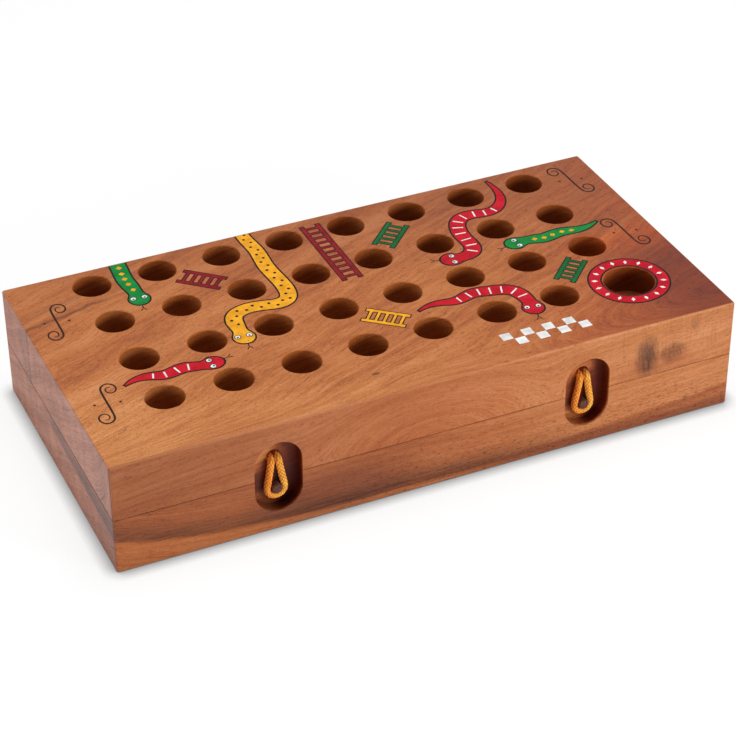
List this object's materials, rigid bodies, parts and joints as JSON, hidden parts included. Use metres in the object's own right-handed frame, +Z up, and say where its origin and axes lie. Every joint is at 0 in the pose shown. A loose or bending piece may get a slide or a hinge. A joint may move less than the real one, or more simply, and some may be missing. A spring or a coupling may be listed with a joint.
{
  "type": "folding snakes and ladders board",
  "caption": "Folding wooden game box whose halves open on brass hinges into one board of peg holes, shut by elastic loops over dowels, with pawns and a die kept inside.",
  "frame": {"origin": "middle of the underside that the shut box stands on", "axes": "+X along the box to the right, +Y towards the hinges at the back, +Z up; the loops are on the front face, at -Y"},
  "size_m": [0.25, 0.1272, 0.046],
  "materials": {
    "hardwood": "satin oiled hardwood with straight grain",
    "peg_wood": "plain turned dowel",
    "hinge_brass": "satin brass",
    "screw_brass": "bright brass",
    "elastic_cord": "braided elastic cord",
    "red_paint": "wood with gloss paint",
    "yellow_paint": "wood with gloss paint",
    "green_paint": "wood with gloss paint",
    "blue_paint": "wood with gloss paint",
    "die_wood": "pale varnished wood",
    "print_ink": "screen printed ink, red, green, yellow, black and white"
  },
  "bodies": {
    "lower": {"lower_half": "hardwood", "left_hinge_lower_leaf": "hinge_brass", "right_hinge_lower_leaf": "hinge_brass", "left_hinge_pin": "hinge_brass", "right_hinge_pin": "hinge_brass", "lower_hinge_screws": "screw_brass", "left_loop_peg": "peg_wood", "right_loop_peg": "peg_wood", "red_pawn": "red_paint", "yellow_pawn": "yellow_paint", "green_pawn": "green_paint", "blue_pawn": "blue_paint", "die": "die_wood"},
    "lid": {"lid_half": "hardwood", "left_hinge_lid_leaf": "hinge_brass", "right_hinge_lid_leaf": "hinge_brass", "lid_hinge_screws": "screw_brass", "left_loop_knot": "elastic_cord", "right_loop_knot": "elastic_cord"},
    "left_loop": {"left_loop": "elastic_cord"},
    "right_loop": {"right_loop": "elastic_cord"}
  },
  "joints": [
    {"name": "lid_hinge", "type": "hinge", "parent": "lower", "child": "lid", "pos_m": [0, 0.06275, 0.023], "axis": [-1, 0, 0], "range_deg": [0, 180]},
    {"name": "left_loop_swing", "type": "hinge", "parent": "lid", "child": "left_loop", "pos_m": [-0.0625, -0.05905, 0.0289], "axis": [-1, 0, 0], "range_deg": [0, 140]},
    {"name": "right_loop_swing", "type": "hinge", "parent": "lid", "child": "right_loop", "pos_m": [0.0625, -0.05905, 0.0289], "axis": [-1, 0, 0], "range_deg": [0, 140]}
  ]
}
